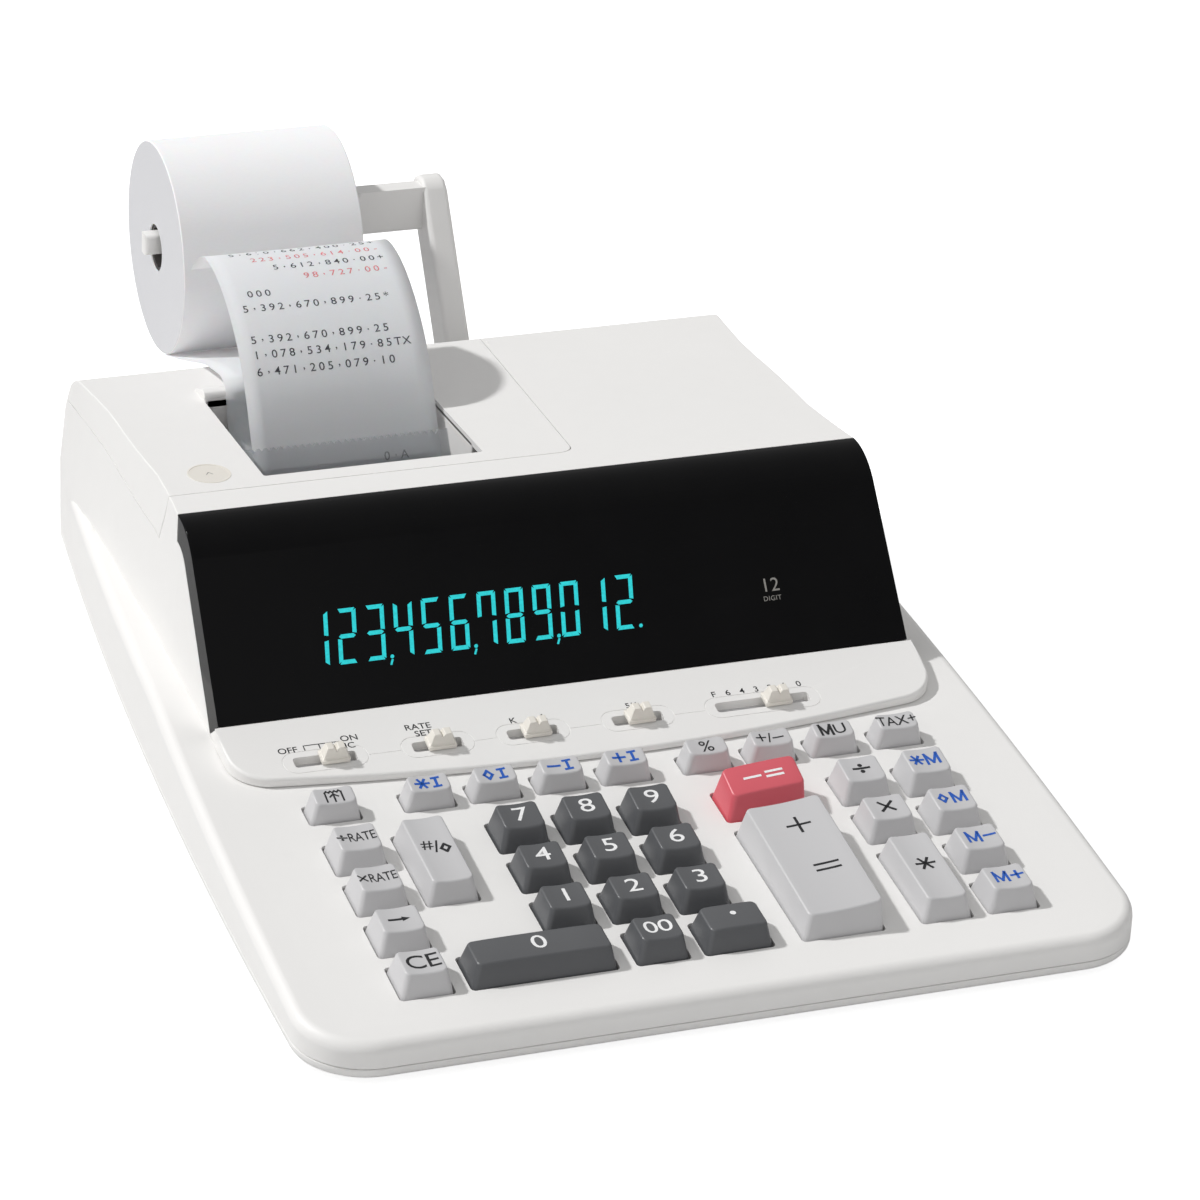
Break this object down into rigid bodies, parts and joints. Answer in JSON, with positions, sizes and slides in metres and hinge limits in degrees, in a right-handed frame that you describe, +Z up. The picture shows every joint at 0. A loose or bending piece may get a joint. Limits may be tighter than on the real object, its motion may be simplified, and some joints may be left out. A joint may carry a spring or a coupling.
{
  "type": "printing desk calculator",
  "caption": "Printing desk calculator: sloping keyboard, slide switches, smoked display and a paper roll on a rear arm feeding a printed strip through a window.",
  "frame": {"origin": "on the table under the middle of the whole object, paper roll included", "axes": "+Z up, the front edge of the keyboard faces -Y, +X to the right of someone using it"},
  "size_m": [0.236, 0.383, 0.117],
  "materials": {
    "shell": "fine moulded texture",
    "light_key": "satin",
    "dark_key": "satin",
    "red_key": "satin",
    "knob": "satin",
    "lens": "polished, smoked",
    "clear": "clear",
    "tube": "gloss",
    "paper": "uncoated",
    "core": "matte",
    "metal": "plated sheet",
    "rubber": "matte",
    "ink": "inked felt",
    "board": "coated board",
    "black": "matte"
  },
  "bodies": {
    "case": {"upper_case": "shell", "lower_case": "shell", "switch_panel": "shell", "printer_cover": "shell", "display_lens": "lens", "display_tube": "tube", "tear_bar": "clear", "paper_strip": "paper", "printer_frame": "metal", "transformer": "metal", "key_sheet": "rubber", "main_board": "board", "foot_strip_front": "rubber", "foot_strip_rear": "rubber", "cord_bush": "black"},
    "paper_arm": {"paper_arm": "shell"},
    "paper_roll": {"paper_roll": "paper", "roll_core": "core"},
    "feed_roller": {"feed_roller": "rubber"},
    "ink_roller": {"ink_roller": "ink"},
    "key_ce": {"key_ce": "light_key"},
    "key_shift": {"key_shift": "light_key"},
    "key_rate_multiply": {"key_rate_multiply": "light_key"},
    "key_rate_divide": {"key_rate_divide": "light_key"},
    "key_paper_feed": {"key_paper_feed": "light_key"},
    "key_number_subtotal": {"key_number_subtotal": "light_key"},
    "key_0": {"key_0": "dark_key"},
    "key_00": {"key_00": "dark_key"},
    "key_point": {"key_point": "dark_key"},
    "key_1": {"key_1": "dark_key"},
    "key_2": {"key_2": "dark_key"},
    "key_3": {"key_3": "dark_key"},
    "key_4": {"key_4": "dark_key"},
    "key_5": {"key_5": "dark_key"},
    "key_6": {"key_6": "dark_key"},
    "key_7": {"key_7": "dark_key"},
    "key_8": {"key_8": "dark_key"},
    "key_9": {"key_9": "dark_key"},
    "key_item_total": {"key_item_total": "light_key"},
    "key_item_subtotal": {"key_item_subtotal": "light_key"},
    "key_item_minus": {"key_item_minus": "light_key"},
    "key_item_plus": {"key_item_plus": "light_key"},
    "key_percent": {"key_percent": "light_key"},
    "key_sign_change": {"key_sign_change": "light_key"},
    "key_markup": {"key_markup": "light_key"},
    "key_tax": {"key_tax": "light_key"},
    "key_minus_equals": {"key_minus_equals": "red_key"},
    "key_plus_equals": {"key_plus_equals": "light_key"},
    "key_divide": {"key_divide": "light_key"},
    "key_multiply": {"key_multiply": "light_key"},
    "key_total": {"key_total": "light_key"},
    "key_memory_total": {"key_memory_total": "light_key"},
    "key_memory_subtotal": {"key_memory_subtotal": "light_key"},
    "key_memory_minus": {"key_memory_minus": "light_key"},
    "key_memory_plus": {"key_memory_plus": "light_key"},
    "switch_power": {"switch_power": "knob"},
    "switch_rate": {"switch_rate": "knob"},
    "switch_constant": {"switch_constant": "knob"},
    "switch_rounding": {"switch_rounding": "knob"},
    "switch_decimal": {"switch_decimal": "knob"}
  },
  "joints": [
    {"name": "key_ce_press", "type": "slide", "parent": "case", "child": "key_ce", "axis": [0, 0.0872, -0.9962], "range_m": [0, 0.0028], "stiffness_N_per_m": 200},
    {"name": "key_shift_press", "type": "slide", "parent": "case", "child": "key_shift", "axis": [0, 0.0872, -0.9962], "range_m": [0, 0.0028], "stiffness_N_per_m": 200},
    {"name": "key_rate_multiply_press", "type": "slide", "parent": "case", "child": "key_rate_multiply", "axis": [0, 0.0872, -0.9962], "range_m": [0, 0.0028], "stiffness_N_per_m": 200},
    {"name": "key_rate_divide_press", "type": "slide", "parent": "case", "child": "key_rate_divide", "axis": [0, 0.0872, -0.9962], "range_m": [0, 0.0028], "stiffness_N_per_m": 200},
    {"name": "key_paper_feed_press", "type": "slide", "parent": "case", "child": "key_paper_feed", "axis": [0, 0.0872, -0.9962], "range_m": [0, 0.0028], "stiffness_N_per_m": 200},
    {"name": "key_number_subtotal_press", "type": "slide", "parent": "case", "child": "key_number_subtotal", "axis": [0, 0.0872, -0.9962], "range_m": [0, 0.0028], "stiffness_N_per_m": 260},
    {"name": "key_0_press", "type": "slide", "parent": "case", "child": "key_0", "axis": [0, 0.0872, -0.9962], "range_m": [0, 0.0028], "stiffness_N_per_m": 200},
    {"name": "key_00_press", "type": "slide", "parent": "case", "child": "key_00", "axis": [0, 0.0872, -0.9962], "range_m": [0, 0.0028], "stiffness_N_per_m": 200},
    {"name": "key_point_press", "type": "slide", "parent": "case", "child": "key_point", "axis": [0, 0.0872, -0.9962], "range_m": [0, 0.0028], "stiffness_N_per_m": 200},
    {"name": "key_1_press", "type": "slide", "parent": "case", "child": "key_1", "axis": [0, 0.0872, -0.9962], "range_m": [0, 0.0028], "stiffness_N_per_m": 200},
    {"name": "key_2_press", "type": "slide", "parent": "case", "child": "key_2", "axis": [0, 0.0872, -0.9962], "range_m": [0, 0.0028], "stiffness_N_per_m": 200},
    {"name": "key_3_press", "type": "slide", "parent": "case", "child": "key_3", "axis": [0, 0.0872, -0.9962], "range_m": [0, 0.0028], "stiffness_N_per_m": 200},
    {"name": "key_4_press", "type": "slide", "parent": "case", "child": "key_4", "axis": [0, 0.0872, -0.9962], "range_m": [0, 0.0028], "stiffness_N_per_m": 200},
    {"name": "key_5_press", "type": "slide", "parent": "case", "child": "key_5", "axis": [0, 0.0872, -0.9962], "range_m": [0, 0.0028], "stiffness_N_per_m": 200},
    {"name": "key_6_press", "type": "slide", "parent": "case", "child": "key_6", "axis": [0, 0.0872, -0.9962], "range_m": [0, 0.0028], "stiffness_N_per_m": 200},
    {"name": "key_7_press", "type": "slide", "parent": "case", "child": "key_7", "axis": [0, 0.0872, -0.9962], "range_m": [0, 0.0028], "stiffness_N_per_m": 200},
    {"name": "key_8_press", "type": "slide", "parent": "case", "child": "key_8", "axis": [0, 0.0872, -0.9962], "range_m": [0, 0.0028], "stiffness_N_per_m": 200},
    {"name": "key_9_press", "type": "slide", "parent": "case", "child": "key_9", "axis": [0, 0.0872, -0.9962], "range_m": [0, 0.0028], "stiffness_N_per_m": 200},
    {"name": "key_item_total_press", "type": "slide", "parent": "case", "child": "key_item_total", "axis": [0, 0.0872, -0.9962], "range_m": [0, 0.0028], "stiffness_N_per_m": 200},
    {"name": "key_item_subtotal_press", "type": "slide", "parent": "case", "child": "key_item_subtotal", "axis": [0, 0.0872, -0.9962], "range_m": [0, 0.0028], "stiffness_N_per_m": 200},
    {"name": "key_item_minus_press", "type": "slide", "parent": "case", "child": "key_item_minus", "axis": [0, 0.0872, -0.9962], "range_m": [0, 0.0028], "stiffness_N_per_m": 200},
    {"name": "key_item_plus_press", "type": "slide", "parent": "case", "child": "key_item_plus", "axis": [0, 0.0872, -0.9962], "range_m": [0, 0.0028], "stiffness_N_per_m": 200},
    {"name": "key_percent_press", "type": "slide", "parent": "case", "child": "key_percent", "axis": [0, 0.0872, -0.9962], "range_m": [0, 0.0028], "stiffness_N_per_m": 200},
    {"name": "key_sign_change_press", "type": "slide", "parent": "case", "child": "key_sign_change", "axis": [0, 0.0872, -0.9962], "range_m": [0, 0.0028], "stiffness_N_per_m": 200},
    {"name": "key_markup_press", "type": "slide", "parent": "case", "child": "key_markup", "axis": [0, 0.0872, -0.9962], "range_m": [0, 0.0028], "stiffness_N_per_m": 200},
    {"name": "key_tax_press", "type": "slide", "parent": "case", "child": "key_tax", "axis": [0, 0.0872, -0.9962], "range_m": [0, 0.0028], "stiffness_N_per_m": 200},
    {"name": "key_minus_equals_press", "type": "slide", "parent": "case", "child": "key_minus_equals", "axis": [0, 0.0872, -0.9962], "range_m": [0, 0.0028], "stiffness_N_per_m": 200},
    {"name": "key_plus_equals_press", "type": "slide", "parent": "case", "child": "key_plus_equals", "axis": [0, 0.0872, -0.9962], "range_m": [0, 0.0028], "stiffness_N_per_m": 260},
    {"name": "key_divide_press", "type": "slide", "parent": "case", "child": "key_divide", "axis": [0, 0.0872, -0.9962], "range_m": [0, 0.0028], "stiffness_N_per_m": 200},
    {"name": "key_multiply_press", "type": "slide", "parent": "case", "child": "key_multiply", "axis": [0, 0.0872, -0.9962], "range_m": [0, 0.0028], "stiffness_N_per_m": 200},
    {"name": "key_total_press", "type": "slide", "parent": "case", "child": "key_total", "axis": [0, 0.0872, -0.9962], "range_m": [0, 0.0028], "stiffness_N_per_m": 260},
    {"name": "key_memory_total_press", "type": "slide", "parent": "case", "child": "key_memory_total", "axis": [0, 0.0872, -0.9962], "range_m": [0, 0.0028], "stiffness_N_per_m": 200},
    {"name": "key_memory_subtotal_press", "type": "slide", "parent": "case", "child": "key_memory_subtotal", "axis": [0, 0.0872, -0.9962], "range_m": [0, 0.0028], "stiffness_N_per_m": 200},
    {"name": "key_memory_minus_press", "type": "slide", "parent": "case", "child": "key_memory_minus", "axis": [0, 0.0872, -0.9962], "range_m": [0, 0.0028], "stiffness_N_per_m": 200},
    {"name": "key_memory_plus_press", "type": "slide", "parent": "case", "child": "key_memory_plus", "axis": [0, 0.0872, -0.9962], "range_m": [0, 0.0028], "stiffness_N_per_m": 200},
    {"name": "switch_power_slide", "type": "slide", "parent": "case", "child": "switch_power", "axis": [1, 0, 0], "range_m": [-0.0086, 0.0038]},
    {"name": "switch_rate_slide", "type": "slide", "parent": "case", "child": "switch_rate", "axis": [1, 0, 0], "range_m": [-0.0052, 0.0038]},
    {"name": "switch_constant_slide", "type": "slide", "parent": "case", "child": "switch_constant", "axis": [1, 0, 0], "range_m": [-0.0054, 0.0039]},
    {"name": "switch_rounding_slide", "type": "slide", "parent": "case", "child": "switch_rounding", "axis": [1, 0, 0], "range_m": [-0.0052, 0.0042]},
    {"name": "switch_decimal_slide", "type": "slide", "parent": "case", "child": "switch_decimal", "axis": [1, 0, 0], "range_m": [-0.0154, 0.0072]},
    {"name": "paper_arm_fold", "type": "hinge", "parent": "case", "child": "paper_arm", "pos_m": [0.0245, 0.1285, 0.044], "axis": [-1, 0, 0], "range_deg": [0, 55], "deforming": ["paper_strip"]},
    {"name": "paper_roll_spin", "type": "hinge", "parent": "paper_arm", "child": "paper_roll", "pos_m": [-0.036, 0.1585, 0.084], "axis": [1, 0, 0], "continuous": true},
    {"name": "feed_roller_spin", "type": "hinge", "parent": "case", "child": "feed_roller", "pos_m": [-0.036, 0.053, 0.048], "axis": [1, 0, 0], "continuous": true},
    {"name": "ink_roller_spin", "type": "hinge", "parent": "case", "child": "ink_roller", "pos_m": [-0.036, 0.0725, 0.032], "axis": [1, 0, 0], "continuous": true}
  ],
  "couplings": [
    {"joint": "paper_roll_spin", "follows": "feed_roller_spin", "ratio": 0.2}
  ]
}
